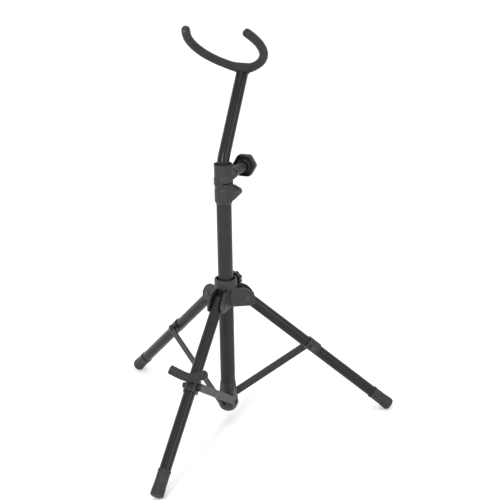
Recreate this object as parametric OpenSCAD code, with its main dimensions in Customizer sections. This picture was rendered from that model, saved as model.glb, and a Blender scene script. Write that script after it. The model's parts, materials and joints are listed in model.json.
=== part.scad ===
// Folding floor stand for a tall wind instrument: tripod base, telescoping column, padded yoke and
// padded lower rest. Millimetres, Z up, floor at z = 0, front leg along -Y,
// origin under the middle of the footprint.

/* [Column] */
// Outside diameter of the column tube
column_d = 25; // [20:0.5:32]
// Wall of the column tube and of the upper tube
tube_wall = 1.5; // [1:0.1:2]
// Height of the column tube's top above the floor
column_top = 428; // [400:1:600]
// Height of the brace rivets in the base fitting
base_z = 39; // [34:1:60]
// Radius of the base fitting's ball end
base_ball_r = 18; // [17:0.5:22]

/* [Upper tube] */
// Wall of the guide bush between the two tubes
bush_wall = 0.9; // [0.8:0.1:1.5]
// Length of the upper tube inside the column
upper_insert = 193; // [120:1:240]
// Bend radius of the upper tube's centre line
bend_r = 32; // [26:1:60]
// Backward lean of the upper tube
lean = 34.8; // [20:0.1:45]
// Distance from the bend's corner to the yoke's centre line
yoke_reach = 162.9; // [120:0.1:220]

/* [Yoke] */
// Diameter of the yoke's steel rod
yoke_rod_d = 8; // [6:0.5:10]
// Outside diameter of the yoke's sleeve
yoke_sleeve_d = 13.4; // [11:0.1:18]
// Radius of the yoke's middle bend
yoke_r1 = 30; // [25:0.5:60]
// Angle of the yoke's middle bend
yoke_a1 = 37.4; // [25:0.1:45]
// Radius of the yoke's side bends
yoke_r2 = 105.9; // [70:0.1:130]
// Angle of the yoke's side bends
yoke_a2 = 70.7; // [50:0.1:80]
// Straight length at each tip
yoke_tip = 11.2; // [5:0.1:30]

/* [Legs] */
// Outside diameter of the leg tubes
leg_d = 19; // [16:0.5:24]
// Wall of the leg tubes
leg_wall = 1.2; // [1:0.1:2]
// Length from the leg's pivot to the foot's end
leg_len = 336; // [280:1:420]
// Slope of the open legs below horizontal
leg_angle = 41.5; // [35:0.5:50]
// Length of the leg tube past its pivot
leg_tail = 10; // [8:0.5:12]
// Outside diameter of the rubber feet
foot_d = 21.5; // [21.2:0.1:28]
// Length of the rubber feet
foot_len = 43; // [30:1:60]
// Distance from the leg's pivot to the brace's bolt
brace_at = 148.9; // [120:0.1:180]

/* [Leg hub] */
// Wall of the hub's bush around the column
hub_bush_t = 1.15; // [1:0.05:2]
// Distance from the hub's core to the leg pivots
hub_reach = 19.5; // [17:0.5:30]
// Thickness of the clevis cheeks
cheek_t = 3; // [2.5:0.1:5]
// Height of the cheeks above the leg pivots
cheek_up = 19.5; // [16:0.5:26]
// Depth of the cheeks below the leg pivots
cheek_down = 12.5; // [11:0.5:16]
// Length of the cheeks past the leg pivots
cheek_nose = 15; // [12:0.5:22]
// Height of the ring above the cheeks
ring_h = 15.5; // [12:0.5:24]
// Diameter of the leg rivets
leg_rivet_d = 6; // [5:0.5:8]
// Diameter of the lock knob
lock_knob_d = 28; // [22:1:32]

/* [Braces] */
// Width of the flat brace bars
brace_w = 13; // [11:0.5:16]
// Thickness of the flat brace bars
brace_t = 2.5; // [2:0.1:4]
// Diameter of the brace rivets and bolts
brace_pin_d = 5; // [4:0.5:6]
// Thickness of the saddle clips on the legs
saddle_t = 2; // [1.5:0.1:3]
// Length of the saddle clips
saddle_len = 24; // [18:1:30]

/* [Clamp] */
// Height of the collar below the column's top
collar_down = 33.5; // [30:0.5:45]
// Height of the collar above the column's top
collar_up = 33; // [30:0.5:45]
// Wall of the collar
collar_wall = 2.5; // [2:0.1:4]
// Distance from the column's surface to the clamp bolts
lug_reach = 10.4; // [9:0.1:14]
// Thickness of each clamp lug
lug_t = 6.5; // [5:0.5:9]
// Half width of the collar's slit
slit = 1.5; // [1:0.1:2]
// Diameter of the clamp bolt
clamp_bolt_d = 6; // [5:0.5:8]
// Width of the clamp knob across its flats
knob_af = 36; // [30:1:44]
// Thickness of the clamp knob
knob_t = 13; // [10:0.5:18]
// Length of the clamp knob's neck
knob_neck = 22.6; // [18:0.1:30]

/* [Lower rest] */
// Diameter of the rest's steel rod
rest_rod_d = 8; // [6:0.5:10]
// Outside diameter of the rest's sleeve
rest_sleeve_d = 15; // [12:0.5:20]
// Height of the rest's centre line above the leg's axis
rest_up = 20.7; // [20:0.1:30]
// Distance of the rest uphill of the brace's bolt
rest_back = 5.7; // [0:0.1:8]
// Lean of the rest's plane outward from vertical
rest_lean = 22.6; // [10:0.1:40]
// Radius of the rest's middle bend
rest_r = 25; // [20:0.5:40]
// Upward slope of the rest's arms
rest_a = 27; // [15:0.5:40]
// Straight length of each arm
rest_arm = 20; // [12:0.5:40]

/* [Hidden] */
$fn = 48;
// Running clearance of a round fit, on the radius
run = 0.05;
// Gap between faces that move past each other
side_gap = 0.3;
// Overlap of a cut past a face
cut = 1;
// Hairline at the joints of a bent bar or sleeve
seam = 0.02;
AZ = [-90, 30, 150];
column_r = column_d / 2;
leg_r = leg_d / 2;
upper_r = column_r - tube_wall - bush_wall - 2 * run;
bush_low_r = column_r - tube_wall - run;
bush_high_r = column_r - run;
bush_in_r = upper_r + run;
pin_r = brace_pin_d / 2;
// Cheeks and hub core
cheek_in = leg_r + 0.5;
cheek_out = cheek_in + cheek_t;
hub_bush_r = column_r + run + hub_bush_t;
edge_r = max(cheek_out / cos(30), hub_bush_r + 1.3);
core_r = edge_r - 0.5;
ring_r = edge_r + 4;
mouth_r = edge_r + 1;
pivot_r = edge_r + hub_reach;
leg_rivet_r = leg_rivet_d / 2;
// Leg and foot
foot_r = foot_d / 2;
foot_fillet = 3;
foot_base = 4;
foot_end_z = foot_fillet + (foot_r - foot_fillet) * cos(leg_angle) - foot_fillet * sin(leg_angle);
pivot_z = foot_end_z + leg_len * sin(leg_angle);
hub_low = pivot_z - cheek_down;
cheek_top = pivot_z + cheek_up;
ring_top = cheek_top + ring_h;
mouth_depth = 6.5;
lock_z = cheek_top + 1.5;
// Braces
face_y = max(leg_r + saddle_t + 1.2, column_r + 0.5);
brace_y = face_y + side_gap;
joint_r = pivot_r + brace_at * cos(leg_angle);
joint_z = pivot_z - brace_at * sin(leg_angle);
brace_len = norm([joint_r, joint_z - base_z]);
brace_angle = atan2(joint_z - base_z, joint_r);
head_r = 5;
head_t = 3.2;
rivet_head_r = 4.5;
rivet_head_t = 2;
nut_t = 4.5;
// Base fitting
seat_z = base_z + 7;
socket_top = base_z + 37;
socket_low = base_z + 11;
// Collar heights
bush_gap = 0.3;
collar_low = column_top - collar_down;
collar_high = column_top + collar_up;
collar_r = column_r + collar_wall;
bush_top = column_top + 28;
bush_low = column_top - 28;
slot_h = 2.4;
slot_z = column_top + 2;
slot_a = 72;
screw_x = column_r + lug_reach + 0.6;
screw_z = collar_low + 21;
screw_lug_r = 6;
screw_r = 2.5;
bolt_x = column_r + lug_reach - 0.4;
bolt_z = column_top + 23;
bolt_lug_r = 7.3;
bolt_r = clamp_bolt_d / 2;
lug_out = slit + lug_t;
nut_af = 10;
pocket = 4;
knob_y = lug_out + 0.4 + knob_neck;
// Upper tube
upper_low = column_top - upper_insert;
corner_z = bush_top + bend_r * tan(lean / 2);
bend_step = bend_r * tan(lean / 2);
yoke_rod_r = yoke_rod_d / 2;
yoke_r = yoke_sleeve_d / 2;
yoke_phi = 90 - yoke_a1 - yoke_a2;
yoke_cx = (yoke_r1 - yoke_r2) * cos(90 - yoke_a1);
yoke_cy = -yoke_r1 + (yoke_r1 - yoke_r2) * sin(90 - yoke_a1);
wrap_r = yoke_r + 1.5;
tube_stop = yoke_r - 0.2;
spigot_len = 20;
cap_t = 2.2;
guide_h = 14;
guide_t = 2;
// Rest
rest_rod_r = rest_rod_d / 2;
rest_sleeve_r = rest_sleeve_d / 2;
// Offset that puts the middle of the footprint at the origin
foot_end_r = pivot_r + leg_len * cos(leg_angle);
front_reach = foot_end_r - foot_fillet * cos(leg_angle) + (foot_r - foot_fillet) * sin(leg_angle)
    + foot_fillet;
rear_dir = cos(leg_angle) / 2;
rear_reach = foot_end_r / 2 - foot_fillet * rear_dir + (foot_r - foot_fillet) * sqrt(1 - rear_dir * rear_dir)
    + foot_fillet;
centre_y = (front_reach - rear_reach) / 2;

// Moves a piece from the column's axis to the part's origin
module stand() {
    translate([0, centre_y, 0]) children();
}

// A round ring's section
module ring2d(ro, ri) {
    difference() {
        circle(ro);
        if (ri > 0) circle(ri);
    }
}

// A tube along +Z
module pipe(ro, ri, h) {
    difference() {
        cylinder(r = ro, h = h);
        if (ri > 0) translate([0, 0, -cut]) cylinder(r = ri, h = h + 2 * cut);
    }
}

// An arc of bar or sleeve in the XY plane from a0 to a1, a seam short at both ends
module arc(r, a0, a1, ro, ri) {
    e = seam / r * 180 / PI;
    rotate([0, 0, a0 + e]) rotate_extrude(angle = a1 - a0 - 2 * e) translate([r, 0]) ring2d(ro, ri);
}

// The material that ties two lengths of a bent bar or sleeve across their seam
module tie(ro, ri) {
    translate([0, 0, -0.4]) pipe(ro - 0.03, ri > 0 ? ri + 0.03 : 0, 0.8);
}

// A disc along +Z whose top edge is rounded by f
module puck(r, h, f) {
    rotate_extrude() {
        square([r - f, h]);
        square([r, h - f]);
        intersection() {
            translate([r - f, h - f]) circle(f);
            square([r, h]);
        }
    }
}

// Frame of one leg's vertical plane: x outward, y along the leg's pivot
module plane_of(i) {
    rotate([0, 0, AZ[i]]) children();
}

// Frame of one open leg: x down the leg, z off its top
module on_leg(i) {
    plane_of(i) translate([pivot_r, 0, pivot_z]) rotate([0, leg_angle, 0]) children();
}

// A pin along +Y from y0 to y1
module pin_y(r, y0, y1) {
    translate([0, y0, 0]) rotate([-90, 0, 0]) cylinder(r = r, h = y1 - y0);
}

// A six-sided prism along +Y from y0 to y1, flats up and down
module hex_y(af, y0, y1) {
    translate([0, y0, 0]) rotate([-90, 0, 0]) cylinder(r = af / sqrt(3), h = y1 - y0, $fn = 6);
}

// Column ----------------------------------------------------------------------------------------

module column_tube() {
    color("dimgray") stand() translate([0, 0, seat_z])
        pipe(column_r, column_r - tube_wall, column_top - seat_z);
}

module base_hub() {
    color("slategray") stand() difference() {
        union() {
            translate([0, 0, base_z]) sphere(base_ball_r);
            translate([0, 0, base_z]) cylinder(r = 15.5 - 12.5 + column_r, h = socket_low - base_z);
            translate([0, 0, socket_low])
                cylinder(r1 = column_r + 3, r2 = column_r + 0.6, h = socket_top - socket_low);
        }
        translate([0, 0, seat_z]) cylinder(r = column_r, h = column_top);
        for (i = [0:2]) plane_of(i) {
            translate([-50, face_y, base_z - 50]) cube([100, 50, 150]);
            translate([0, 0, base_z]) pin_y(pin_r, 4, face_y + cut);
        }
    }
}

module base_rivets() {
    color("gainsboro") stand() for (i = [0:2]) plane_of(i) translate([0, 0, base_z]) {
        pin_y(pin_r, 4, brace_y + brace_t + side_gap + 0.5);
        translate([0, brace_y + brace_t + side_gap, 0]) rotate([-90, 0, 0])
            puck(rivet_head_r, rivet_head_t, 1.2);
    }
}

// Clamp -----------------------------------------------------------------------------------------

module lug2d_low() {
    translate([screw_x, screw_z]) circle(screw_lug_r);
    polygon([[column_r - 2.5, collar_low + 5],
        [screw_x - screw_z + collar_low + 5 + screw_lug_r * sqrt(2), collar_low + 5],
        [screw_x + screw_lug_r / sqrt(2), screw_z - screw_lug_r / sqrt(2)],
        [screw_x + screw_lug_r * cos(65), screw_z + screw_lug_r * sin(65)],
        [column_r + 4.5, screw_z + 10],
        [column_r - 2.5, screw_z + 10]]);
}

module lug2d_high() {
    translate([bolt_x, bolt_z]) circle(bolt_lug_r);
    polygon([[column_r - 2.5, bolt_z - 15],
        [bolt_x - 15 + bolt_lug_r * sqrt(2), bolt_z - 15],
        [bolt_x + bolt_lug_r / sqrt(2), bolt_z - bolt_lug_r / sqrt(2)],
        [bolt_x, bolt_z + bolt_lug_r],
        [column_r - 2.5, bolt_z + bolt_lug_r]]);
}

module clamp_collar() {
    color("gray") stand() difference() {
        union() {
            rotate_extrude() polygon([[column_r - 1, collar_low],
                [column_r + 0.6, collar_low],
                [collar_r + 0.1, collar_low + 4.5],
                [collar_r + 0.1, column_top - 10],
                [collar_r - 0.8, column_top - 7.4],
                [collar_r + 0.9, column_top],
                [collar_r + 0.9, column_top + 9],
                [collar_r - 0.1, column_top + 11],
                [collar_r - 0.1, collar_high - 6],
                [collar_r + 0.4, collar_high - 2.5],
                [collar_r + 0.4, collar_high],
                [column_r - 1, collar_high]]);
            translate([0, lug_out, 0]) rotate([90, 0, 0]) linear_extrude(2 * lug_out) lug2d_low();
            translate([0, lug_out, 0]) rotate([90, 0, 0]) linear_extrude(2 * lug_out) lug2d_high();
        }
        translate([0, 0, collar_low - cut]) cylinder(r = column_r, h = collar_high - collar_low + 2 * cut);
        translate([0, 0, collar_high - 4]) cylinder(r1 = column_r, r2 = column_r + 2.4, h = 4.8);
        translate([0, -slit, collar_low - cut])
            cube([screw_x + 30, 2 * slit, collar_high - collar_low + 2 * cut]);
        rotate([0, 0, -slot_a]) rotate_extrude(angle = 2 * slot_a)
            translate([column_r - 1, slot_z - slot_h / 2]) square([6, slot_h]);
        translate([screw_x, 0, screw_z]) pin_y(screw_r, -lug_out - cut, lug_out + cut);
        translate([bolt_x, 0, bolt_z]) pin_y(bolt_r + 0.3, -lug_out - cut, lug_out + cut);
        translate([bolt_x, 0, bolt_z]) hex_y(nut_af, -lug_out - cut, -lug_out + pocket);
    }
}

module collar_screw() {
    color("silver") stand() translate([screw_x, 0, screw_z]) {
        pin_y(screw_r, -lug_out - 0.5, lug_out + 5.5);
        difference() {
            translate([0, -lug_out, 0]) rotate([90, 0, 0]) puck(4.75, 2.8, 1.4);
            for (k = [0, 1]) rotate([0, 90 * k, 0])
                translate([-2.4, -lug_out - 2.8 - cut, -0.5]) cube([4.8, cut + 1.6, 1]);
        }
    }
}

module collar_nut() {
    color("silver") stand() translate([screw_x, 0, screw_z]) difference() {
        hex_y(8, lug_out, lug_out + 4);
        pin_y(screw_r, lug_out - cut, lug_out + 5);
    }
}

module clamp_nut() {
    color("silver") stand() translate([bolt_x, 0, bolt_z]) difference() {
        hex_y(nut_af, -lug_out - 1, -lug_out + pocket);
        pin_y(bolt_r + run, -lug_out - 2, -lug_out + pocket + cut);
    }
}

module clamp_bush() {
    color("black") stand() difference() {
        union() {
            translate([0, 0, bush_low]) cylinder(r = bush_low_r, h = bush_top - bush_low);
            translate([0, 0, column_top + bush_gap])
                cylinder(r = bush_high_r, h = bush_top - column_top - bush_gap);
        }
        translate([0, 0, bush_low - cut]) cylinder(r = bush_in_r, h = bush_top - bush_low + 2 * cut);
    }
}

module clamp_bolt() {
    color("silver") stand() translate([bolt_x, 0, bolt_z])
        pin_y(bolt_r, -lug_out - 2.5, knob_y + 6);
}

// A hexagon with flats up and down and round corners
module clamp_knob() {
    color("darkslategray") stand() translate([bolt_x, 0, bolt_z]) difference() {
        union() {
            intersection() {
                translate([0, knob_y + knob_t + 1, 0]) rotate([90, 0, 0])
                    linear_extrude(knob_t + 2) circle(r = knob_af / 2 / cos(30), $fn = 6);
                translate([0, knob_y, 0]) rotate([-90, 0, 0]) rotate_extrude() polygon([[0, 0],
                    [knob_af / 2 + 0.3, 0],
                    [knob_af / 2 + 1.5, 1.2],
                    [knob_af / 2 + 1.5, knob_t - 1.2],
                    [knob_af / 2 + 0.3, knob_t],
                    [0, knob_t]]);
            }
            translate([0, lug_out + 0.4, 0]) rotate([-90, 0, 0])
                cylinder(r1 = 7, r2 = 10, h = knob_neck + 1);
        }
        translate([0, knob_y - cut, 0]) rotate([-90, 0, 0]) difference() {
            cylinder(r = 14.5, h = cut + 2);
            translate([0, 0, -cut]) cylinder(r = 11, h = cut + 2 + 2 * cut);
        }
        pin_y(bolt_r, 0, knob_y + 6);
    }
}

// Upper tube and yoke ----------------------------------------------------------------------------

// Frame at the yoke's junction: z up the tube, y to the back
module at_yoke() {
    translate([0, 0, corner_z]) rotate([-lean, 0, 0]) translate([0, 0, yoke_reach]) children();
}

// Bar or sleeve along the yoke's centre line, with or without its middle bend
module yoke_path(ro, ri, middle = true) {
    if (middle) translate([0, -yoke_r1, 0]) arc(yoke_r1, 90 - yoke_a1, 90 + yoke_a1, ro, ri);
    for (m = [0, 180]) rotate([0, m, 0]) {
        translate([yoke_cx, yoke_cy, 0]) {
            arc(yoke_r2, yoke_phi, yoke_phi + yoke_a2, ro, ri);
            rotate([0, 0, yoke_phi + yoke_a2]) translate([yoke_r2, 0, 0]) rotate([90, 0, 0]) tie(ro, ri);
            rotate([0, 0, yoke_phi]) translate([yoke_r2, 0, 0]) rotate([90, 0, 0]) {
                tie(ro, ri);
                pipe(ro, ri, yoke_tip);
            }
        }
    }
}

// Frame at each tip of the yoke: z out of the tip
module at_yoke_tips() {
    for (m = [0, 180]) rotate([0, m, 0]) translate([yoke_cx, yoke_cy, 0]) rotate([0, 0, yoke_phi])
        translate([yoke_r2, 0, 0]) rotate([90, 0, 0]) translate([0, 0, yoke_tip]) children();
}

module upper_tube() {
    inner = upper_r - tube_wall;
    color("dimgray") stand() {
        translate([0, 0, upper_low]) pipe(upper_r, inner, bush_top - upper_low);
        translate([0, 0, bush_top]) tie(upper_r, inner);
        translate([0, bend_r, bush_top]) rotate([90, 0, -90]) arc(bend_r, 0, lean, upper_r, inner);
        translate([0, 0, corner_z]) rotate([-lean, 0, 0]) translate([0, 0, bend_step]) {
            tie(upper_r, inner);
            pipe(upper_r, inner, yoke_reach - bend_step - tube_stop);
        }
    }
}

module tube_guide() {
    color("black") stand() difference() {
        translate([0, 0, upper_low - guide_t]) cylinder(r = bush_low_r, h = guide_h + guide_t);
        translate([0, 0, upper_low]) cylinder(r = upper_r, h = guide_h + cut);
        translate([0, 0, upper_low - guide_t - cut]) cylinder(r = upper_r - 4, h = guide_t + 2 * cut);
    }
}

module yoke_rod() {
    color("silver") stand() at_yoke() {
        yoke_path(yoke_rod_r, 0);
        translate([0, 0, -tube_stop - spigot_len]) cylinder(r = upper_r - tube_wall, h = spigot_len);
        translate([0, 0, -tube_stop - 1]) cylinder(r = yoke_rod_r + 1, h = tube_stop + 1);
    }
}

module yoke_sleeve() {
    color("darkslategray") stand() at_yoke() {
        yoke_path(yoke_r, yoke_rod_r, false);
        difference() {
            union() {
                translate([0, -yoke_r1, 0]) arc(yoke_r1, 90 - yoke_a1, 90 + yoke_a1, yoke_r, 0);
                translate([0, -yoke_r1, 0]) arc(yoke_r1, 70, 110, wrap_r - 0.8, 0);
                translate([0, -yoke_r1, 0]) arc(yoke_r1, 78, 102, wrap_r, 0);
                translate([0, 0, -tube_stop - 2.5]) cylinder(r = upper_r + 1, h = 3);
                translate([0, 0, -tube_stop + 0.5])
                    cylinder(r1 = upper_r + 1, r2 = yoke_r, h = tube_stop - 1);
            }
            translate([0, -yoke_r1, 0]) arc(yoke_r1, 89 - yoke_a1, 91 + yoke_a1, yoke_rod_r, 0);
            translate([0, 0, -tube_stop - 3]) cylinder(r = upper_r, h = 3);
            translate([0, 0, -tube_stop - 1]) cylinder(r = yoke_rod_r + 1, h = tube_stop + 1);
        }
    }
}

module yoke_caps() {
    color("black") stand() at_yoke() at_yoke_tips() puck(yoke_r, cap_t, 1.8);
}

// Leg hub ---------------------------------------------------------------------------------------

// Outline of one cheek: x outward from the column's axis, y up
module cheek2d() {
    polygon([[0, hub_low],
        [pivot_r + 0.4 * cheek_nose, hub_low],
        [pivot_r + cheek_nose - 0.5, pivot_z - 0.68 * cheek_down],
        [pivot_r + cheek_nose, pivot_z],
        [pivot_r + 0.63 * cheek_nose, pivot_z + 0.46 * cheek_up],
        [pivot_r + 0.23 * cheek_nose, pivot_z + 0.79 * cheek_up],
        [pivot_r - 0.3 * cheek_nose, cheek_top],
        [0, cheek_top]]);
}

module leg_hub() {
    color("gray") stand() difference() {
        union() {
            translate([0, 0, hub_low - 0.5]) cylinder(r = core_r, h = ring_top - 0.5 - hub_low);
            translate([0, 0, cheek_top]) puck(ring_r, ring_h, 1.5);
            difference() {
                union() {
                    for (i = [0:2]) plane_of(i) for (s = [-1, 1])
                        translate([0, s * (cheek_in + cheek_t / 2) + cheek_t / 2, 0]) rotate([90, 0, 0])
                            linear_extrude(cheek_t) cheek2d();
                }
                for (i = [0:2]) plane_of(i) translate([0, -cheek_in, hub_low - cut])
                    cube([pivot_r + 2 * cheek_nose, 2 * cheek_in, cheek_top - hub_low + 2 * cut]);
            }
            translate([0, 0, lock_z]) pin_y(6.5, core_r - 3, ring_r + 7.5);
        }
        translate([0, 0, hub_low - 0.5 - cut]) cylinder(r = hub_bush_r, h = ring_top - hub_low + 2);
        translate([0, 0, ring_top - mouth_depth]) cylinder(r = mouth_r, h = mouth_depth + cut);
        for (i = [0:2]) plane_of(i) translate([pivot_r, 0, pivot_z])
            pin_y(leg_rivet_r, -cheek_out - cut, cheek_out + cut);
        translate([0, 0, lock_z]) pin_y(3 + run, 0, ring_r + 10);
    }
}

module hub_bush() {
    color("black") stand() difference() {
        translate([0, 0, hub_low]) cylinder(r = hub_bush_r, h = ring_top - mouth_depth - hub_low);
        translate([0, 0, hub_low - cut]) cylinder(r = column_r + run, h = ring_top);
        translate([0, 0, lock_z]) pin_y(3 + side_gap, 0, hub_bush_r + cut);
    }
}

module leg_rivets() {
    color("silver") stand() for (i = [0:2]) plane_of(i) translate([pivot_r, 0, pivot_z]) {
        pin_y(leg_rivet_r, -cheek_out - 0.5, cheek_out + 0.5);
        for (s = [0, 1]) mirror([0, s, 0]) translate([0, cheek_out, 0]) rotate([-90, 0, 0])
            puck(leg_rivet_r + 1.2, 1.6, 1);
    }
}

module lock_screw() {
    color("silver") stand() translate([0, 0, lock_z]) pin_y(3, column_r + 0.35, ring_r + 16);
}

module lock_knob() {
    color("darkslategray") stand() translate([0, 0, lock_z]) difference() {
        union() {
            pin_y(7, ring_r + 7.9, ring_r + 11.5);
            translate([0, ring_r + 23, 0]) rotate([90, 0, 0]) puck(lock_knob_d / 2, 12, 1.5);
        }
        for (k = [0:7]) rotate([0, 45 * k, 0])
            translate([lock_knob_d / 2 + 2, 0, 0]) pin_y(3.2, ring_r + 9, ring_r + 25);
        pin_y(3, 0, ring_r + 16);
    }
}

// Legs and feet ---------------------------------------------------------------------------------

module leg(i) {
    color("dimgray") stand() on_leg(i) difference() {
        translate([-leg_tail, 0, 0]) rotate([0, 90, 0])
            pipe(leg_r, leg_r - leg_wall, leg_len + leg_tail - foot_base);
        pin_y(leg_rivet_r + run, -leg_r - cut, leg_r + cut);
        translate([brace_at, 0, 0]) pin_y(pin_r, -leg_r - cut, leg_r + cut);
    }
}

module foot(i) {
    color("black") stand() on_leg(i) difference() {
        translate([leg_len - foot_len, 0, 0]) rotate([0, 90, 0]) puck(foot_r, foot_len, foot_fillet);
        translate([leg_len - foot_len - cut, 0, 0]) rotate([0, 90, 0])
            cylinder(r = leg_r, h = foot_len - foot_base + cut);
    }
}

module saddle(i) {
    color("gray") stand() on_leg(i) translate([brace_at, 0, 0]) difference() {
        union() {
            translate([-saddle_len / 2, 0, 0]) rotate([0, 90, 0])
                cylinder(r = leg_r + saddle_t, h = saddle_len);
            translate([-saddle_len / 2, -leg_r - saddle_t, -6])
                cube([saddle_len, 2 * (leg_r + saddle_t), 6]);
        }
        translate([-saddle_len / 2 - cut, 0, 0]) rotate([0, 90, 0])
            cylinder(r = leg_r, h = saddle_len + 2 * cut);
        translate([-saddle_len / 2 - cut, -leg_r, -30]) cube([saddle_len + 2 * cut, 2 * leg_r, 30]);
        translate([-saddle_len / 2 - cut, -leg_r - 10, -36])
            cube([saddle_len + 2 * cut, 2 * leg_r + 20, 30]);
        pin_y(pin_r, -leg_r - 10, leg_r + 10);
    }
}

module joint_pin(i) {
    color("silver") stand() on_leg(i) translate([brace_at, 0, 0]) {
        pin_y(pin_r, -leg_r - saddle_t - nut_t + 1, face_y);
        pin_y(head_r, leg_r + saddle_t, face_y);
        translate([0, -leg_r - saddle_t, 0]) rotate([90, 0, 0]) puck(head_r, nut_t, 1.5);
    }
}

// Braces ----------------------------------------------------------------------------------------

// Frame of one brace: x up the bar, y along its rivet
module on_brace(i) {
    plane_of(i) translate([0, brace_y, base_z]) rotate([0, -brace_angle, 0]) children();
}

module brace(i) {
    color("darkgray") stand() on_brace(i) translate([0, brace_t, 0]) rotate([90, 0, 0])
        linear_extrude(brace_t) difference() {
            union() {
                circle(brace_w / 2);
                translate([brace_len, 0]) circle(brace_w / 2);
                translate([0, -brace_w / 2]) square([brace_len, brace_w]);
            }
            circle(pin_r + run);
            translate([brace_len, 0]) circle(pin_r);
        }
}

module brace_stud(i) {
    color("silver") stand() on_brace(i) translate([brace_len, 0, 0]) {
        pin_y(pin_r, 0, brace_t + 0.5);
        translate([0, brace_t, 0]) rotate([-90, 0, 0]) puck(head_r, head_t, 1);
    }
}

// Lower rest ------------------------------------------------------------------------------------

// Frame of the rest: x to the side, y up its plane
module at_rest() {
    on_leg(0) translate([brace_at - rest_back, 0, rest_up]) rotate([0, rest_lean - leg_angle, 0])
        rotate([90, 0, 90]) children();
}

// Frame where each arm of the rest starts: z along the arm
module at_rest_arms() {
    for (m = [0, 180]) rotate([0, m, 0])
        translate([rest_r * sin(rest_a), rest_r * (1 - cos(rest_a)), 0]) rotate([0, 90, rest_a]) children();
}

module rest_path(ro, ri) {
    translate([0, rest_r, 0]) arc(rest_r, -90 - rest_a, -90 + rest_a, ro, ri);
    at_rest_arms() {
        tie(ro, ri);
        pipe(ro, ri, rest_arm);
    }
}

module rest_post(r) {
    on_leg(0) translate([brace_at - rest_back, 0, leg_r + saddle_t])
        cylinder(r = r, h = rest_up - leg_r - saddle_t);
}

module rest_rod() {
    color("silver") stand() {
        at_rest() rest_path(rest_rod_r, 0);
        difference() {
            rest_post(rest_rod_r);
            on_leg(0) rotate([0, 90, 0]) cylinder(r = leg_r + saddle_t, h = leg_len);
        }
    }
}

module rest_sleeve() {
    color("darkslategray") stand() difference() {
        at_rest() rest_path(rest_sleeve_r, rest_rod_r);
        rest_post(rest_rod_r);
    }
}

module rest_caps() {
    color("black") stand() at_rest() at_rest_arms() translate([0, 0, rest_arm]) puck(rest_sleeve_r, 2.6, 2.2);
}

// Left, right and front copies -------------------------------------------------------------------

module leg_front() {
    leg(0);
}

module leg_right() {
    leg(1);
}

module leg_left() {
    leg(2);
}

module foot_front() {
    foot(0);
}

module foot_right() {
    foot(1);
}

module foot_left() {
    foot(2);
}

module saddle_front() {
    saddle(0);
}

module saddle_right() {
    saddle(1);
}

module saddle_left() {
    saddle(2);
}

module joint_pin_front() {
    joint_pin(0);
}

module joint_pin_right() {
    joint_pin(1);
}

module joint_pin_left() {
    joint_pin(2);
}

module brace_front() {
    brace(0);
}

module brace_right() {
    brace(1);
}

module brace_left() {
    brace(2);
}

module brace_stud_front() {
    brace_stud(0);
}

module brace_stud_right() {
    brace_stud(1);
}

module brace_stud_left() {
    brace_stud(2);
}

column_tube();
base_hub();
base_rivets();
clamp_collar();
collar_screw();
collar_nut();
clamp_nut();
clamp_bush();
clamp_bolt();
clamp_knob();
upper_tube();
tube_guide();
yoke_rod();
yoke_sleeve();
yoke_caps();
leg_hub();
hub_bush();
leg_rivets();
lock_screw();
lock_knob();
leg_front();
leg_right();
leg_left();
foot_front();
foot_right();
foot_left();
saddle_front();
saddle_right();
saddle_left();
joint_pin_front();
joint_pin_right();
joint_pin_left();
brace_front();
brace_right();
brace_left();
brace_stud_front();
brace_stud_right();
brace_stud_left();
rest_rod();
rest_sleeve();
rest_caps();
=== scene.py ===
"""Looks of the folding saxophone stand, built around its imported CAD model."""

import json
import math

import bmesh
import bpy
import numpy as np
from mathutils import Matrix, Vector, noise


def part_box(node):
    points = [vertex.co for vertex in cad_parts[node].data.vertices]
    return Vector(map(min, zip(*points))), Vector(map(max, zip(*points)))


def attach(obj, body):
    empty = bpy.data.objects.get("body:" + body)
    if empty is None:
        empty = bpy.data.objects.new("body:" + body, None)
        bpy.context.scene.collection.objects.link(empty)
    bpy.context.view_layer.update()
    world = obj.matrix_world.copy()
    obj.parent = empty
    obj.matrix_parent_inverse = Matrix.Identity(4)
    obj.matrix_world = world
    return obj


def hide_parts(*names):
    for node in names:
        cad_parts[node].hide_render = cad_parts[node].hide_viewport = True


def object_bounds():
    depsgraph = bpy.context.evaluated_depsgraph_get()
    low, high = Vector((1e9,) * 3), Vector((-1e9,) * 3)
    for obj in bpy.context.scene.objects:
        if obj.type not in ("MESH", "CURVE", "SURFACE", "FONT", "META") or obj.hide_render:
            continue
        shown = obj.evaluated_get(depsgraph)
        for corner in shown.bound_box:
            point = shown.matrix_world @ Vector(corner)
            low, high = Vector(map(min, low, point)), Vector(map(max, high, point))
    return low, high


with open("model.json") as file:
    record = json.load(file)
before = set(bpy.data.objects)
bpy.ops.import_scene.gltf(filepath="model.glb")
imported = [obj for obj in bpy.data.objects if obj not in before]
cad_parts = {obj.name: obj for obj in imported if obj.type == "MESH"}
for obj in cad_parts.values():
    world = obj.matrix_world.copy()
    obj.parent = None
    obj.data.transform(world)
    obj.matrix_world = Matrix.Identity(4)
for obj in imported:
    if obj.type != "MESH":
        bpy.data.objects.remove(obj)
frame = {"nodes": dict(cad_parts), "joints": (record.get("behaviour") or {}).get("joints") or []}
CAD_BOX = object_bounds()
MM = 0.001
SIDES = ("front", "right", "left")
AZIMUTHS = {"front": -90.0, "right": 30.0, "left": 150.0}


# Places taken from the CAD frame -----------------------------------------------------------------


def middle(node):
    low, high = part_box(node)
    return (low + high) / 2


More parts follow.
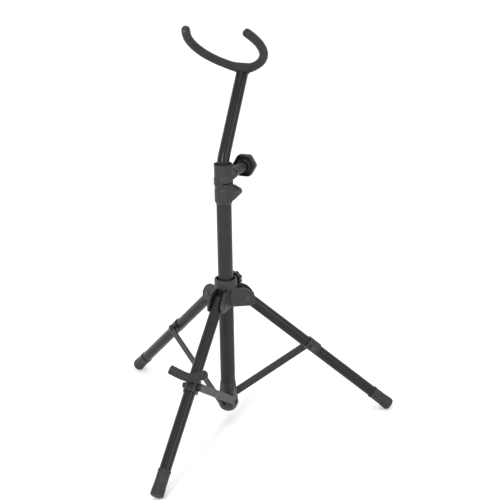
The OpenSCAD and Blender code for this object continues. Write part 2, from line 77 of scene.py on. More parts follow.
AXIS_Y = middle("column_tube").y
COLUMN_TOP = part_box("column_tube")[1].z
LEG_R = (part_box("leg_front")[1].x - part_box("leg_front")[0].x) / 2
JOINT_AT = {j["name"]: Vector(j["pos_m"]) for j in frame["joints"] if "pos_m" in j}
PIVOT = JOINT_AT["leg_front_hinge"]
PIVOT_R = AXIS_Y - PIVOT.y
PIVOT_Z = PIVOT.z
BASE_Z = JOINT_AT["brace_front_hinge"].z
PIN = middle("joint_pin_front")
BRACE_AT = math.hypot(PIN.y - PIVOT.y, PIN.z - PIVOT_Z)
LEG_ANGLE = math.atan2(PIVOT_Z - PIN.z, PIVOT.y - PIN.y)
# Out from a leg's middle plane: the hub's cheeks and the washers end at FACE_Y, the bar starts at BRACE_Y
FACE_Y = LEG_R + 3.5 * MM
BRACE_Y = FACE_Y + 0.3 * MM
BRACE_T = 2.5 * MM
PIN_R = 2.5 * MM
SADDLE_T = 2 * MM
WASHER_R = 5 * MM


def axis_frame(side):
    """x outward along a leg's vertical plane, y along its pivot, z up, from the floor under the column."""
    return Matrix.Translation((0, AXIS_Y, 0)) @ Matrix.Rotation(math.radians(AZIMUTHS[side]), 4, "Z")


def leg_frame(side):
    """x down the open leg, y along its pivot, z off its top."""
    return (
        axis_frame(side)
        @ Matrix.Translation((PIVOT_R, 0, PIVOT_Z))
        @ Matrix.Rotation(LEG_ANGLE, 4, "Y")
    )


# The upper tube leans back above the bush, and the yoke's foam crosses its top
LEAN = math.radians(34.8)
BEND_R = 32 * MM
BUSH_TOP = COLUMN_TOP + 28 * MM
YOKE_REACH = 162.9 * MM
YOKE = (
    Matrix.Translation((0, AXIS_Y, BUSH_TOP + BEND_R * math.tan(LEAN / 2)))
    @ Matrix.Rotation(-LEAN, 4, "X")
    @ Matrix.Translation((0, 0, YOKE_REACH))
)
YOKE_SLEEVE_R = 6.7 * MM
# Radius and turn of the yoke's middle bend and of each side's bend, then the straight tip
YOKE_MIDDLE = (30 * MM, math.radians(37.4))
YOKE_SIDE = (105.9 * MM, math.radians(70.7))
YOKE_TIP = 11.2 * MM
UPPER_R = 10 * MM
CAP_SEAT = 0.6 * MM

REST_SLEEVE_R = 7.5 * MM
# The rest's plane: its middle stands off the front leg, square to a line tipped 22.6 degrees down
REST = (
    leg_frame("front")
    @ Matrix.Translation((BRACE_AT - 5.7 * MM, 0, 20.7 * MM))
    @ Matrix.Rotation(math.radians(22.6) - LEG_ANGLE, 4, "Y")
    @ Matrix.Rotation(math.radians(90), 4, "Z")
    @ Matrix.Rotation(math.radians(90), 4, "X")
)
REST_BEND = (25 * MM, math.radians(27))
REST_ARM = 20 * MM

FOOT_LENGTH = 43 * MM
FOOT_R = 10.75 * MM
FLOOR_HALF = 14
LIGHTS_CENTRE_Z = 0.35


# Finishes ------------------------------------------------------------------------------------------


def new_finish(name, roughness, **sockets):
    """A material with its shader's constant values set on the shader itself."""
    finish = bpy.data.materials.new(name)
    finish.use_nodes = True
    shader = finish.node_tree.nodes["Principled BSDF"]
    shader.inputs["Roughness"].default_value = roughness
    for socket, value in sockets.items():
        shader.inputs[socket.replace("_", " ")].default_value = value
    return finish, finish.node_tree, shader


def grain(tree, scale, detail=3.0, rough=0.55, stretch=(1, 1, 1)):
    """Noise on the piece's own coordinates, in cells per metre."""
    coordinates = tree.nodes.new("ShaderNodeTexCoord")
    mapping = tree.nodes.new("ShaderNodeMapping")
    mapping.inputs["Scale"].default_value = stretch
    texture = tree.nodes.new("ShaderNodeTexNoise")
    texture.inputs["Scale"].default_value = scale
    texture.inputs["Detail"].default_value = detail
    texture.inputs["Roughness"].default_value = rough
    tree.links.new(coordinates.outputs["Object"], mapping.inputs["Vector"])
    tree.links.new(mapping.outputs["Vector"], texture.inputs["Vector"])
    return texture.outputs["Fac"]


def cells(tree, scale):
    """The open cells of foam, on the piece's own coordinates."""
    coordinates = tree.nodes.new("ShaderNodeTexCoord")
    texture = tree.nodes.new("ShaderNodeTexVoronoi")
    texture.inputs["Scale"].default_value = scale
    tree.links.new(coordinates.outputs["Object"], texture.inputs["Vector"])
    return texture.outputs["Distance"]


def between(tree, factor, low, high, start=0.3, end=0.7):
    """factor's stretch from start to end, spread over low to high."""
    spread = tree.nodes.new("ShaderNodeMapRange")
    spread.inputs["From Min"].default_value = start
    spread.inputs["From Max"].default_value = end
    spread.inputs["To Min"].default_value = low
    spread.inputs["To Max"].default_value = high
    tree.links.new(factor, spread.inputs["Value"])
    return spread.outputs["Result"]


def blend_colours(tree, factor, first, second):
    """factor is a socket; first and second are each a colour or a socket."""
    mix = tree.nodes.new("ShaderNodeMix")
    mix.data_type = "RGBA"
    tree.links.new(factor, mix.inputs[0])
    for value, socket in ((first, mix.inputs[6]), (second, mix.inputs[7])):
        if isinstance(value, tuple):
            socket.default_value = (*value, 1)
        else:
            tree.links.new(value, socket)
    return mix.outputs[2]


def grey(value, blue=1.03):
    """A grey, a shade cooler than neutral unless blue is 1."""
    return (value, value, value * blue)


def edges(tree, radius):
    """A rounded normal and a mask of the piece's outer edges."""
    rounded = tree.nodes.new("ShaderNodeBevel")
    rounded.samples = 6
    rounded.inputs["Radius"].default_value = radius
    flat = tree.nodes.new("ShaderNodeNewGeometry")
    dot = tree.nodes.new("ShaderNodeVectorMath")
    dot.operation = "DOT_PRODUCT"
    tree.links.new(rounded.outputs["Normal"], dot.inputs[0])
    tree.links.new(flat.outputs["Normal"], dot.inputs[1])
    return rounded.outputs["Normal"], between(tree, dot.outputs["Value"], 1, 0, 0.86, 0.995)


def bump(tree, shader, height, depth, strength, normal=None):
    """Surface relief of depth metres, on top of a rounded normal where there is one."""
    node = tree.nodes.new("ShaderNodeBump")
    node.inputs["Strength"].default_value = strength
    node.inputs["Distance"].default_value = depth
    tree.links.new(height, node.inputs["Height"])
    if normal is not None:
        tree.links.new(normal, node.inputs["Normal"])
    tree.links.new(node.outputs["Normal"], shader.inputs["Normal"])


def coated(name, dark, light, smooth, rough, peel=0.00002, edge=0.0, worn=0.0, **sockets):
    """Paint or moulded plastic: patchy tone, uneven gloss, fine orange peel, paler edges."""
    finish, tree, shader = new_finish(name, rough, **sockets)
    tone = blend_colours(tree, between(tree, grain(tree, 45), 0, 1), grey(dark), grey(light))
    rounded = None
    if edge:
        rounded, rim = edges(tree, edge)
        patchy = tree.nodes.new("ShaderNodeMath")
        patchy.operation = "MULTIPLY"
        tree.links.new(rim, patchy.inputs[0])
        tree.links.new(between(tree, grain(tree, 160), 0.25, 1), patchy.inputs[1])
        tone = blend_colours(tree, patchy.outputs[0], tone, grey(worn))
    tree.links.new(tone, shader.inputs["Base Color"])
    tree.links.new(between(tree, grain(tree, 70, 5), smooth, rough), shader.inputs["Roughness"])
    bump(tree, shader, grain(tree, 1100, 2), peel, 0.6, rounded)
    return finish


def foam(name):
    """Closed foam: matt, even, with fine cells and faint paler fluff."""
    finish, tree, shader = new_finish(name, 0.9, Specular_IOR_Level=0.15)
    fine = between(tree, grain(tree, 2400, 4, 0.7), 0, 1, 0.35, 0.75)
    tone = blend_colours(tree, fine, grey(0.02), grey(0.042))
    patches = blend_colours(tree, between(tree, grain(tree, 60), 0, 0.5), tone, grey(0.034))
    tree.links.new(patches, shader.inputs["Base Color"])
    tree.links.new(between(tree, grain(tree, 300), 0.8, 0.95), shader.inputs["Roughness"])
    bump(tree, shader, cells(tree, 1500), 0.00022, 0.8)
    return finish


def rubber(name):
    """Moulded rubber with a faint, patchy dust."""
    finish, tree, shader = new_finish(name, 0.5, Specular_IOR_Level=0.3)
    dusty = between(tree, grain(tree, 90, 6, 0.65), 0, 1)
    tree.links.new(blend_colours(tree, dusty, grey(0.012), grey(0.021)), shader.inputs["Base Color"])
    tree.links.new(between(tree, grain(tree, 140, 4), 0.4, 0.58), shader.inputs["Roughness"])
    bump(tree, shader, grain(tree, 1800, 3), 0.00005, 0.7)
    return finish


def steel(name, low, high, roughness, **sockets):
    """Drawn or blackened steel with fine marks along the part."""
    finish, tree, shader = new_finish(name, roughness, **sockets)
    marks = between(tree, grain(tree, 900, 4, 0.6, (1, 1, 0.06)), 0, 1)
    tree.links.new(blend_colours(tree, marks, grey(low), grey(high)), shader.inputs["Base Color"])
    tree.links.new(
        between(tree, grain(tree, 260, 3), roughness * 0.8, roughness * 1.25),
        shader.inputs["Roughness"],
    )
    bump(tree, shader, grain(tree, 1500, 2), 0.00002, 0.5)
    return finish


UPPER_PAINT = coated("gloss_tube_paint", 0.007, 0.010, 0.2, 0.23, 0.000003, Specular_IOR_Level=0.22)
COLUMN_PAINT = coated("satin_tube_paint", 0.011, 0.016, 0.36, 0.4, 0.000005, Specular_IOR_Level=0.24)
BAR_PAINT = coated(
    "satin_bar_paint", 0.014, 0.021, 0.36, 0.44, 0.00001, 0.0007, 0.07, Specular_IOR_Level=0.3
)
MOULDING = coated(
    "grained_moulding", 0.015, 0.023, 0.4, 0.5, 0.00003, 0.0009, 0.09, Specular_IOR_Level=0.32
)
BUSH = coated("bush_plastic", 0.004, 0.006, 0.38, 0.48, 0.00001, 0.0005, 0.02, Specular_IOR_Level=0.2)
KNOB = coated(
    "gloss_knob_plastic", 0.004, 0.007, 0.22, 0.3, 0.000006, 0.0006, 0.04, Specular_IOR_Level=0.25
)
CAP = coated("soft_cap_plastic", 0.012, 0.018, 0.22, 0.3, 0.000008, Specular_IOR_Level=0.3)
FASTENER = steel("blackened_steel", 0.035, 0.07, 0.34, Metallic=0.8)
ROD = steel("drawn_steel", 0.34, 0.46, 0.3, Metallic=1.0)
FOAM = foam("foam_sleeve")
RUBBER = rubber("foot_rubber")


# Mesh makers ---------------------------------------------------------------------------------------


def add_piece(name, mesh, body, finish, replaced=(), sharp=35):
    """A new piece in the shared frame that rides on its body and stands for its CAD nodes."""
    mesh.name = name
    mesh.materials.clear()
    mesh.materials.append(finish)
    mesh.shade_smooth()
    if sharp:
        mesh.set_sharp_from_angle(angle=math.radians(sharp))
    piece = bpy.data.objects.new(name, mesh)
    bpy.context.scene.collection.objects.link(piece)
    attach(piece, body)
    if replaced:
        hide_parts(*replaced)
    return piece


def loft(rings, place, closed_ring=False):
    """A closed skin over rings of points; a ring of one point is a pole."""
    skin = bmesh.new()
    rows = [[skin.verts.new(place @ Vector(p)) for p in ring] for ring in rings]
    pairs = list(zip(rows, rows[1:]))
    if closed_ring:
        pairs.append((rows[-1], rows[0]))
    for first, second in pairs:
        count = max(len(first), len(second))
        for k in range(count):
            quad = [
                first[k % len(first)],
                first[(k + 1) % len(first)],
                second[(k + 1) % len(second)],
                second[k % len(second)],
            ]
            corners = list(dict.fromkeys(quad))
            if len(corners) > 2:
                skin.faces.new(corners)
    bmesh.ops.recalc_face_normals(skin, faces=skin.faces)
    mesh = bpy.data.meshes.new("skin")
    skin.to_mesh(mesh)
    skin.free()
    return mesh


def turned(profile, place, segments=56, waves=None):
    """A closed turned piece about z from (radius, height) points; waves scale the radius round it."""
    rings = []
    for radius, height in profile:
        if radius <= 0:
            rings.append([(0, 0, height)])
            continue
        ring = []
        for k in range(segments):
            a = 2 * math.pi * k / segments
            r = radius * (1 if waves is None else waves(a, radius))
            ring.append((r * math.cos(a), r * math.sin(a), height))
        rings.append(ring)
    return loft(rings, place, closed_ring=profile[0][0] > 0)


def arc_points(centre, radius, start, end, step=2.0 * MM):
    """Points of a flat arc, about one step apart."""
    count = max(2, round(abs(end - start) * radius / step))
    return [
        Vector((centre[0] + radius * math.cos(a), centre[1] + radius * math.sin(a), 0))
        for a in np.linspace(start, end, count + 1)
    ]


def swept(path, radii, place, segments=40):
    """A closed round bar along a flat path in the local XY plane."""
    rings = []
    for k, point in enumerate(path):
        along = (path[min(k + 1, len(path) - 1)] - path[max(k - 1, 0)]).normalized()
        across = Vector((-along.y, along.x, 0))
        rings.append(
            [
                point + float(radii[k]) * (across * math.cos(a) + Vector((0, 0, math.sin(a))))
                for a in np.linspace(0, 2 * math.pi, segments, endpoint=False)
            ]
        )
    return loft([[path[0]], *rings, [path[-1]]], place)


def lengths(path):
    """The distance along a path at each of its points."""
    steps = [0.0] + [(b - a).length for a, b in zip(path, path[1:])]
    return np.cumsum(steps)


def joined(meshes):
    """Several skins in one mesh, left apart."""
    whole = bmesh.new()
    for mesh in meshes:
        whole.from_mesh(mesh)
    result = bpy.data.meshes.new("joined")
    whole.to_mesh(result)
    whole.free()
    return result


def fused(meshes, voxel, smoothing=6):
    """Several closed skins grown into one, with soft fillets where they meet."""
    thing = bpy.data.objects.new("fused", joined(meshes))
    bpy.context.scene.collection.objects.link(thing)
    remesh = thing.modifiers.new("grow", "REMESH")
    remesh.mode = "VOXEL"
    remesh.voxel_size = voxel
    relax = thing.modifiers.new("relax", "SMOOTH")
    relax.factor = 0.5
    relax.iterations = smoothing
    graph = bpy.context.evaluated_depsgraph_get()
    result = bpy.data.meshes.new_from_object(thing.evaluated_get(graph))
    bpy.data.objects.remove(thing)
    return result


def ruffled(mesh, amplitude, size):
    """Slow waves along the normals, as on foam that has been handled."""
    normals = [v.normal.copy() for v in mesh.vertices]
    for vertex, normal in zip(mesh.vertices, normals):
        vertex.co += normal * amplitude * noise.noise(vertex.co / size)
    return mesh


# Foam sleeves and their caps -----------------------------------------------------------------------


def yoke_path():
    """The yoke's centre line from its left tip to its right tip, and the frames out of both tips."""
    (r1, a1), (r2, a2) = YOKE_MIDDLE, YOKE_SIDE
    phi = math.pi / 2 - a1 - a2
    centre = ((r1 - r2) * math.sin(a1), -r1 + (r1 - r2) * math.cos(a1))
    out = Vector((math.sin(phi), -math.cos(phi), 0))
    side = arc_points(centre, r2, phi + a2, phi)
    side += [side[-1] + out * YOKE_TIP * k / 5 for k in range(1, 6)]
    half = arc_points((0, -r1), r1, math.pi / 2, math.pi / 2 - a1) + side[1:]
    mirrored = [Vector((-p.x, p.y, 0)) for p in reversed(half[1:])]
    return mirrored + half, half[-1], out


def tip_frame(place, point, out, flip):
    """z out of a bar's tip."""
    if flip:
        point, out = Vector((-point.x, point.y, 0)), Vector((-out.x, out.y, 0))
    turn = out.to_track_quat("Z", "Y").to_matrix().to_4x4()
    return place @ Matrix.Translation(point) @ turn


def domed_cap(radius, depth, crown):
    """A pressed-on end cap: a short skirt, a round shoulder and a slightly crowned face."""
    return [
        (0, -CAP_SEAT),
        (radius - 0.9 * MM, -CAP_SEAT),
        (radius - 0.15 * MM, -0.3 * MM),
        (radius, 0.15 * MM),
        (radius, depth * 0.25),
        (radius - 0.2 * MM, depth * 0.5),
        (radius - 0.65 * MM, depth * 0.73),
        (radius - 1.3 * MM, depth * 0.87),
        (radius - 2.1 * MM, depth * 0.95),
        (radius * 0.5, depth + crown * 0.6),
        (radius * 0.25, depth + crown * 0.9),
        (0, depth + crown),
    ]


def yoke_pieces():
    """The yoke's foam, thicker at the middle and with a neck down over the tube, and its end caps."""
    path, tip, out = yoke_path()
    along = lengths(path)
    distance = np.abs(along - along[-1] / 2)
    radii = YOKE_SLEEVE_R + 0.3 * MM + 1.7 * MM * np.exp(-((distance / (15 * MM)) ** 2))
    tube_top = -YOKE_SLEEVE_R + 0.2 * MM
    neck = [
        (0, tube_top - 2.2 * MM),
        (UPPER_R + 0.9 * MM, tube_top - 2.2 * MM),
        (UPPER_R + 1.1 * MM, tube_top - 1.2 * MM),
        (UPPER_R + 0.9 * MM, tube_top + 0.4 * MM),
        (UPPER_R - 1.0 * MM, tube_top + 2.6 * MM),
        (YOKE_SLEEVE_R + 1.2 * MM, tube_top + 5.2 * MM),
        (YOKE_SLEEVE_R, tube_top + 7.0 * MM),
        (0, tube_top + 7.0 * MM),
    ]
    bar = swept(path, radii, YOKE)
    sleeve = fused([bar, turned(neck, YOKE)], 0.9 * MM)
    ruffled(sleeve, 0.16 * MM, 9 * MM)
    piece = add_piece("yoke_foam", sleeve, "mast", FOAM, ["yoke_sleeve"], 0)
    caps = [
        turned(
            domed_cap(YOKE_SLEEVE_R, 2.2 * MM, 0.3 * MM), tip_frame(YOKE, tip, out, flip), 48
        )
        for flip in (False, True)
    ]
    add_piece("yoke_end_caps", joined(caps), "mast", CAP, ["yoke_caps"])


def rest_pieces():
    """The lower rest's foam, a shallow V with a round bottom, and its end caps."""
    r, a = REST_BEND
    half = arc_points((0, r), r, -math.pi / 2, -math.pi / 2 + a, 1.5 * MM)
    out = Vector((math.cos(a), math.sin(a), 0))
    half += [half[-1] + out * REST_ARM * k / 12 for k in range(1, 13)]
    path = [Vector((-p.x, p.y, 0)) for p in reversed(half[1:])] + half
    along = lengths(path)
    distance = np.abs(along - along[-1] / 2)
    radii = REST_SLEEVE_R - 0.35 * MM * np.exp(-((distance / (9 * MM)) ** 2))
    sleeve = fused([swept(path, radii, REST)], 0.8 * MM, 3)
    ruffled(sleeve, 0.15 * MM, 8 * MM)
    piece = add_piece("rest_foam", sleeve, "front_leg", FOAM, ["rest_sleeve"], 0)
    caps = [
        turned(
            domed_cap(REST_SLEEVE_R, 2.6 * MM, 0.4 * MM),
            tip_frame(REST, half[-1], out, flip),
            48,
        )
        for flip in (False, True)
    ]
    add_piece("rest_end_caps", joined(caps), "front_leg", CAP, ["rest_caps"])


# Knobs ---------------------------------------------------------------------------------------------


def round_hexagon(half_flat, corner_r, per_corner=9, per_flat=5):
    """Points round a hexagon with round corners, from a corner at angle 0."""
    points = []
    inner = (half_flat - corner_r) / math.cos(math.pi / 6)
    for k in range(6):
        turn = k * math.pi / 3
        centre = Vector((inner * math.cos(turn), inner * math.sin(turn)))
        for a in np.linspace(turn - math.pi / 6, turn + math.pi / 6, per_corner):
            points.append(centre + corner_r * Vector((math.cos(a), math.sin(a))))
        nxt = Vector((inner * math.cos(turn + math.pi / 3), inner * math.sin(turn + math.pi / 3)))
        start = points[-1]
        side = turn + math.pi / 6
        end = nxt + corner_r * Vector((math.cos(side), math.sin(side)))
        points += [start.lerp(end, j / per_flat) for j in range(1, per_flat)]
    return points


def clamp_knob_piece():
    """The six-sided knob: conical neck, grooved near face, round-edged flats and a dished far face."""
    low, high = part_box("clamp_knob")
    centre_x, centre_z = (low.x + high.x) / 2, (low.z + high.z) / 2
    half_flat = (high.z - low.z) / 2
    thick = 13 * MM
    face = high.y - thick
    neck = face - low.y
    place = Matrix.Translation((centre_x, face, centre_z)) @ Matrix.Rotation(-math.pi / 2, 4, "X")
    outline = round_hexagon(half_flat, 7 * MM)
    angles = [math.atan2(p.y, p.x) for p in outline]

    def ring(radius, height):
        if radius <= 0:
            return [(0, 0, height)]
        return [(radius * math.cos(a), radius * math.sin(a), height) for a in angles]

    def hexagon(inset, height):
        return [
            (p.x - inset * math.cos(a), p.y - inset * math.sin(a), height)
            for p, a in zip(outline, angles)
        ]

    neck_end = ((0, 0), (6.2, 0), (6.8, 0.25), (7.05, 0.8))
    neck_flare = ((8.4, -11), (9.3, -3.5), (9.8, -1.2), (10.6, -0.2), (11.2, 0))
    near_groove = ((11.5, 0.25), (11.8, 1.6), (14.0, 1.6), (14.3, 0.25), (14.6, 0))
    far_dish = ((13.5, 0), (13.1, 0.2), (12.6, 1.1), (7, 1.3), (0, 1.1))
    rings = [ring(r * MM, -neck + h * MM) for r, h in neck_end]
    rings += [ring(r * MM, h * MM) for r, h in neck_flare + near_groove]
    rings += [
        hexagon(i * MM, h)
        for i, h in (
            (2.6, 0),
            (1.8, 0.1 * MM),
            (0.9, 0.55 * MM),
            (0.25, 1.3 * MM),
            (0, 2.4 * MM),
            (0, thick - 2.4 * MM),
            (0.25, thick - 1.3 * MM),
            (0.9, thick - 0.55 * MM),
            (1.8, thick - 0.1 * MM),
            (2.6, thick),
        )
    ]
    rings += [ring(r * MM, thick - h * MM) for r, h in far_dish]
    add_piece("clamp_knob_moulding", loft(rings, place), "knob", KNOB, ["clamp_knob"], 40)


def lock_knob_piece():
    """The round knob at the hub's back, with eight hollows that fade out inside smooth_r."""
    low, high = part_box("lock_knob")
    radius = (high.z - low.z) / 2
    place = Matrix.Translation((0, high.y, (low.z + high.z) / 2)) @ Matrix.Rotation(math.pi / 2, 4, "X")
    depth = high.y - low.y
    smooth_r = 9 * MM
    hollow_depth = 0.12
    hollows = 8

    def lobes(a, r):
        share = min(1.0, max(0.0, (r - smooth_r) / (radius - smooth_r)))
        return 1 - hollow_depth * share * (0.5 + 0.5 * math.cos(hollows * a)) ** 2

    profile = [
        (0, 1.2 * MM),
        (6.5 * MM, 1.2 * MM),
        (7.6 * MM, 0.2 * MM),
        (8.2 * MM, 0),
        (radius - 2.2 * MM, 0),
        (radius - 0.9 * MM, 0.35 * MM),
        (radius - 0.2 * MM, 1.1 * MM),
        (radius, 2.2 * MM),
        (radius, 9.8 * MM),
        (radius - 0.3 * MM, 11.0 * MM),
        (radius - 1.2 * MM, 11.8 * MM),
        (radius - 2.4 * MM, 12 * MM),
        (7.6 * MM, 12.1 * MM),
        (7.1 * MM, 12.8 * MM),
        (7.0 * MM, depth - 0.4 * MM),
        (6.6 * MM, depth),
        (0, depth),
    ]
    knob = turned(profile, place, 128, lobes)
    add_piece("lock_knob_moulding", knob, "lock", KNOB, ["lock_knob"], 40)


# Feet ----------------------------------------------------------------------------------------------


def foot_profile():
    """(radius, height) points round a foot's whole section, z towards the foot's end."""
    r, length = FOOT_R, FOOT_LENGTH
    socket_r = LEG_R + 0.02 * MM
    fillet = 3 * MM
    profile = [(r - 1.0 * MM, 0), (r - 0.45 * MM, 0.1 * MM), (r - 0.1 * MM, 0.5 * MM), (r, 1.1 * MM)]
    profile += [
        (r, 3.0 * MM),
        (r - 0.1 * MM, 3.6 * MM),
        (r - 0.5 * MM, 4.0 * MM),
        (r - 0.55 * MM, 4.6 * MM),
        (r - 0.55 * MM, length - 17 * MM),
        (r - 0.4 * MM, length - 15 * MM),
        (r, length - 12.5 * MM),
    ]
    for k in range(3):
        groove = length - (11 - 2.3 * k) * MM
        profile += [
            (r, groove),
            (r - 0.12 * MM, groove + 0.12 * MM),
            (r - 0.3 * MM, groove + 0.4 * MM),
            (r - 0.12 * MM, groove + 0.68 * MM),
            (r, groove + 0.8 * MM),
        ]
    for a in np.linspace(0, math.pi / 2, 7):
        profile.append((r - fillet + fillet * math.cos(a), length - fillet + fillet * math.sin(a)))
    profile += [(5.2 * MM, length), (4.8 * MM, length - 0.6 * MM), (0, length - 0.7 * MM)]
    socket = [(0, length - 4 * MM), (socket_r, length - 4 * MM), (socket_r, 0.3 * MM)]
    return list(reversed(profile)) + list(reversed(socket))


def foot_pieces():
    for side in SIDES:
        centre = leg_frame(side).inverted() @ middle(f"foot_{side}")
        start = centre.x - FOOT_LENGTH / 2
        place = leg_frame(side) @ Matrix.Translation((start, 0, 0)) @ Matrix.Rotation(math.pi / 2, 4, "Y")
        mesh = turned(foot_profile(), place, 64)
        add_piece(f"foot_cap_{side}", mesh, f"{side}_leg", RUBBER, [f"foot_{side}"], 50)


# Rivets, bolts and nuts ----------------------------------------------------------------------------


def fastener_tree():
    """A domed head on a rim of any number of sides and a plain shank, at each point, along its direction."""
    tree = bpy.data.node_groups.new("domed fastener", "GeometryNodeTree")
    face = tree.interface
    face.new_socket("Geometry", in_out="INPUT", socket_type="NodeSocketGeometry")
    for name in ("Head radius", "Dome height", "Rim height", "Shank radius", "Shank length"):
        face.new_socket(name, in_out="INPUT", socket_type="NodeSocketFloat")
    face.new_socket("Rim sides", in_out="INPUT", socket_type="NodeSocketInt")
    face.new_socket("Finish", in_out="INPUT", socket_type="NodeSocketMaterial")
    face.new_socket("Geometry", in_out="OUTPUT", socket_type="NodeSocketGeometry")
    add, link = tree.nodes.new, tree.links.new
    start, end = add("NodeGroupInput"), add("NodeGroupOutput")

    def combine(x, y, z):
        node = add("ShaderNodeCombineXYZ")
        for value, socket in zip((x, y, z), node.inputs):
            if value is not None:
                link(value, socket)
        return node.outputs[0]

    def scaled(value, factor):
        node = add("ShaderNodeMath")
        node.operation = "MULTIPLY"
        link(value, node.inputs[0])
        node.inputs[1].default_value = factor
        return node.outputs[0]

    def moved(geometry, offset, size=None):
        node = add("GeometryNodeTransform")
        link(geometry, node.inputs["Geometry"])
        link(offset, node.inputs["Translation"])
        if size is not None:
            link(size, node.inputs["Scale"])
        return node.outputs["Geometry"]

    dome = add("GeometryNodeMeshUVSphere")
    dome.inputs["Segments"].default_value = 32
    dome.inputs["Rings"].default_value = 16
    dome.inputs["Radius"].default_value = 1
    radius = scaled(start.outputs["Head radius"], 0.97)
    crown = moved(
        dome.outputs["Mesh"],
        combine(None, None, scaled(start.outputs["Rim height"], 0.98)),
        combine(radius, radius, start.outputs["Dome height"]),
    )
    rim = add("GeometryNodeMeshCylinder")
    link(start.outputs["Rim sides"], rim.inputs["Vertices"])
    link(start.outputs["Head radius"], rim.inputs["Radius"])
    link(start.outputs["Rim height"], rim.inputs["Depth"])
    rim_up = moved(rim.outputs["Mesh"], combine(None, None, scaled(start.outputs["Rim height"], 0.5)))
    shank = add("GeometryNodeMeshCylinder")
    shank.inputs["Vertices"].default_value = 32
    link(start.outputs["Shank radius"], shank.inputs["Radius"])
    link(start.outputs["Shank length"], shank.inputs["Depth"])
    half_down = scaled(start.outputs["Shank length"], -0.5)
    shank_down = moved(shank.outputs["Mesh"], combine(None, None, half_down))
    whole = add("GeometryNodeJoinGeometry")
    for part in (crown, rim_up, shank_down):
        link(part, whole.inputs[0])
    direction = add("GeometryNodeInputNamedAttribute")
    direction.data_type = "FLOAT_VECTOR"
    direction.inputs["Name"].default_value = "direction"
    turn = add("FunctionNodeAlignRotationToVector")
    turn.axis = "Z"
    link(direction.outputs["Attribute"], turn.inputs["Vector"])
    spread = add("GeometryNodeInstanceOnPoints")
    link(start.outputs["Geometry"], spread.inputs["Points"])
    link(whole.outputs[0], spread.inputs["Instance"])
    link(turn.outputs[0], spread.inputs["Rotation"])
    solid = add("GeometryNodeRealizeInstances")
    link(spread.outputs[0], solid.inputs[0])
    painted = add("GeometryNodeSetMaterial")
    link(solid.outputs[0], painted.inputs["Geometry"])
    link(start.outputs["Finish"], painted.inputs["Material"])
    link(painted.outputs[0], end.inputs[0])
    return tree


FASTENERS = fastener_tree()


def fasteners(name, places, body, replaced, sizes, sides=32):
    """places are (point, direction) pairs; sizes are the tree's five lengths in mm, in its order."""
    points = bpy.data.meshes.new(name)
    points.from_pydata([p for p, _ in places], [], [])
    aim = points.attributes.new("direction", "FLOAT_VECTOR", "POINT")
    for k, (_, direction) in enumerate(places):
        aim.data[k].vector = direction
    holder = bpy.data.objects.new(name + "_points", points)
    bpy.context.scene.collection.objects.link(holder)
    modifier = holder.modifiers.new("fasteners", "NODES")
    modifier.node_group = FASTENERS
    names = ("Head radius", "Dome height", "Rim height", "Shank radius", "Shank length")
    values = {n: v * MM for n, v in zip(names, sizes)}
    values["Rim sides"] = sides
    values["Finish"] = FASTENER
    for item in FASTENERS.interface.items_tree:
        if item.in_out == "INPUT" and item.name in values:
            modifier[item.identifier] = values[item.name]
    graph = bpy.context.evaluated_depsgraph_get()
    mesh = bpy.data.meshes.new_from_object(holder.evaluated_get(graph))
    bpy.data.objects.remove(holder)
    return add_piece(name, mesh, body, FASTENER, replaced, 40)


def across(place):
    """The direction of a leg's pivot, from the leg's frame or its axis frame."""
    return (place.to_3x3() @ Vector((0, 1, 0))).normalized()


def all_fasteners():
    """The rivets of the base and the hub, and each joint's nut, washer and bolt head."""
    base, hub = [], []
    for side in SIDES:
        place = axis_frame(side)
        y = across(place)
        base.append((place @ Vector((0, BRACE_Y + BRACE_T + 0.3 * MM, BASE_Z)), y))
        for sign in (-1, 1):
            hub.append((place @ Vector((PIVOT_R, sign * FACE_Y, PIVOT_Z)), y * sign))
    fasteners("base_rivet_heads", base, "column", ["base_rivets"], (4.5, 1.4, 0.6, PIN_R / MM, 12))
    fasteners("leg_rivet_heads", hub, "hub", ["leg_rivets"], (4.2, 1.1, 0.5, 3, FACE_Y / MM))
    for side in SIDES:
        place = leg_frame(side)
        y = across(place)
        wall = LEG_R + SADDLE_T
        fasteners(
            f"joint_nut_{side}",
            [(place @ Vector((BRACE_AT, -wall, 0)), -y)],
            f"{side}_leg",
            [f"joint_pin_{side}"],
            (4.9, 1.9, 2.6, PIN_R / MM, 22),
            6,
        )
        washer = turned(
            [
                (0, 0),
                (WASHER_R - 0.4 * MM, 0),
                (WASHER_R, 0.3 * MM),
                (WASHER_R, 1.2 * MM),
                (WASHER_R - 0.4 * MM, FACE_Y - wall),
                (0, FACE_Y - wall),
            ],
            place @ Matrix.Translation((BRACE_AT, wall, 0)) @ Matrix.Rotation(-math.pi / 2, 4, "X"),
            40,
        )
        add_piece(f"joint_washer_{side}", washer, f"{side}_leg", FASTENER)
        bar_end = place @ Vector((BRACE_AT, BRACE_Y + BRACE_T, 0))
        fasteners(
            f"bar_bolt_{side}",
            [(bar_end, y)],
            f"{side}_brace",
            [f"brace_stud_{side}"],
            (5, 2.0, 1.2, PIN_R / MM, BRACE_T / MM + 0.1),
        )


yoke_pieces()
rest_pieces()
clamp_knob_piece()
lock_knob_piece()
foot_pieces()
all_fasteners()

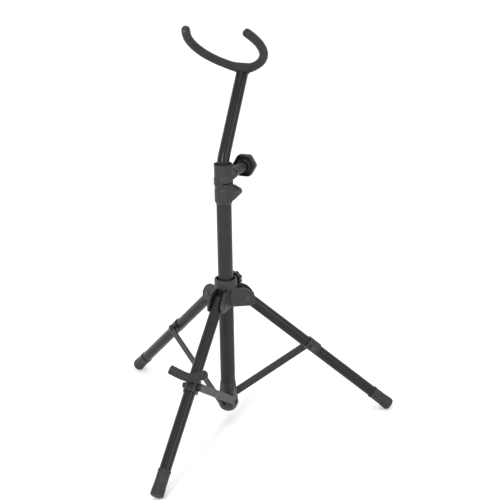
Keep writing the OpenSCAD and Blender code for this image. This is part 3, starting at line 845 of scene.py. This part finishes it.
CAD_FINISHES = {
    "column_tube": COLUMN_PAINT,
    "upper_tube": UPPER_PAINT,
    "base_hub": MOULDING,
    "clamp_collar": MOULDING,
    "leg_hub": MOULDING,
    "clamp_bush": BUSH,
    "tube_guide": BUSH,
    "hub_bush": BUSH,
    "collar_screw": FASTENER,
    "collar_nut": FASTENER,
    "clamp_nut": FASTENER,
    "clamp_bolt": FASTENER,
    "lock_screw": FASTENER,
    "yoke_rod": ROD,
    "rest_rod": BAR_PAINT,
}
for side in SIDES:
    CAD_FINISHES[f"leg_{side}"] = UPPER_PAINT
    CAD_FINISHES[f"saddle_{side}"] = BAR_PAINT
    CAD_FINISHES[f"brace_{side}"] = BAR_PAINT
for node, finish in CAD_FINISHES.items():
    thing = frame["nodes"][node]
    if not thing.material_slots:
        thing.data.materials.append(finish)
    for material_slot in thing.material_slots:
        material_slot.material = finish


# Floor, light and camera -----------------------------------------------------------------------------


def floor_piece():
    corners = [(x * FLOOR_HALF, y * FLOOR_HALF, 0) for x, y in ((-1, -1), (1, -1), (1, 1), (-1, 1))]
    mesh = bpy.data.meshes.new("floor")
    mesh.from_pydata(corners, [], [(0, 1, 2, 3)])
    finish, tree, shader = new_finish("pale_floor", 0.9)
    tone = blend_colours(tree, grain(tree, 2), grey(0.94, 1.0), grey(0.96, 1.0))
    tree.links.new(tone, shader.inputs["Base Color"])
    mesh.materials.append(finish)
    thing = bpy.data.objects.new("floor", mesh)
    bpy.context.scene.collection.objects.link(thing)


def towards(azimuth, elevation):
    """The direction out to a place round the object: azimuth 0 is its front, on -Y."""
    a, e = math.radians(azimuth), math.radians(elevation)
    return Vector((math.sin(a) * math.cos(e), -math.cos(a) * math.cos(e), math.sin(e)))


def studio_light(name, azimuth, elevation, distance, size, power):
    """A panel that faces the object's middle."""
    back = towards(azimuth, elevation)
    lamp = bpy.data.lights.new(name, "AREA")
    lamp.shape = "RECTANGLE"
    lamp.size, lamp.size_y = size
    lamp.energy = power
    thing = bpy.data.objects.new(name, lamp)
    thing.location = Vector((0, AXIS_Y, LIGHTS_CENTRE_Z)) + back * distance
    thing.rotation_mode = "QUATERNION"
    thing.rotation_quaternion = (-back).to_track_quat("-Z", "Y")
    bpy.context.scene.collection.objects.link(thing)


def studio():
    """A bright white room with a strip, a side panel and an overhead box."""
    world = bpy.data.worlds.new("studio")
    world.use_nodes = True
    background = world.node_tree.nodes["Background"]
    background.inputs["Color"].default_value = (1, 1, 1, 1)
    background.inputs["Strength"].default_value = 1.05
    bpy.context.scene.world = world
    studio_light("key_strip", 0, 30, 2.6, (0.22, 1.9), 34)
    studio_light("right_panel", 75, 22, 2.6, (1.2, 1.6), 16)
    studio_light("overhead_box", 20, 78, 3.2, (2.2, 2.2), 12)
    bpy.context.scene.view_settings.view_transform = "Standard"


# The camera's aim is from the middle of the CAD box; angles are in degrees
CAMERA_AIM = Vector((0.0383, 0.0855, -0.0283))
CAMERA_AZIMUTH = 22.128
CAMERA_ELEVATION = 18.848
CAMERA_ROLL = -0.884
CAMERA_DISTANCE = 2.0
CAMERA_LENS = 87.07


def camera():
    low, high = CAD_BOX
    aim = (low + high) / 2 + CAMERA_AIM
    azimuth, roll = math.radians(CAMERA_AZIMUTH), math.radians(CAMERA_ROLL)
    back = towards(CAMERA_AZIMUTH, CAMERA_ELEVATION)
    right = Vector((math.cos(azimuth), math.sin(azimuth), 0))
    up = back.cross(right)
    turned_right = right * math.cos(roll) + up * math.sin(roll)
    turned_up = up * math.cos(roll) - right * math.sin(roll)
    rotation = Matrix((turned_right, turned_up, back)).transposed()
    data = bpy.data.cameras.new("camera")
    data.lens = CAMERA_LENS
    data.sensor_width = 36
    thing = bpy.data.objects.new("camera", data)
    thing.rotation_mode = "QUATERNION"
    thing.rotation_quaternion = rotation.to_quaternion()
    thing.location = aim + back * CAMERA_DISTANCE
    bpy.context.scene.collection.objects.link(thing)
    bpy.context.scene.camera = thing


floor_piece()
studio()
camera()
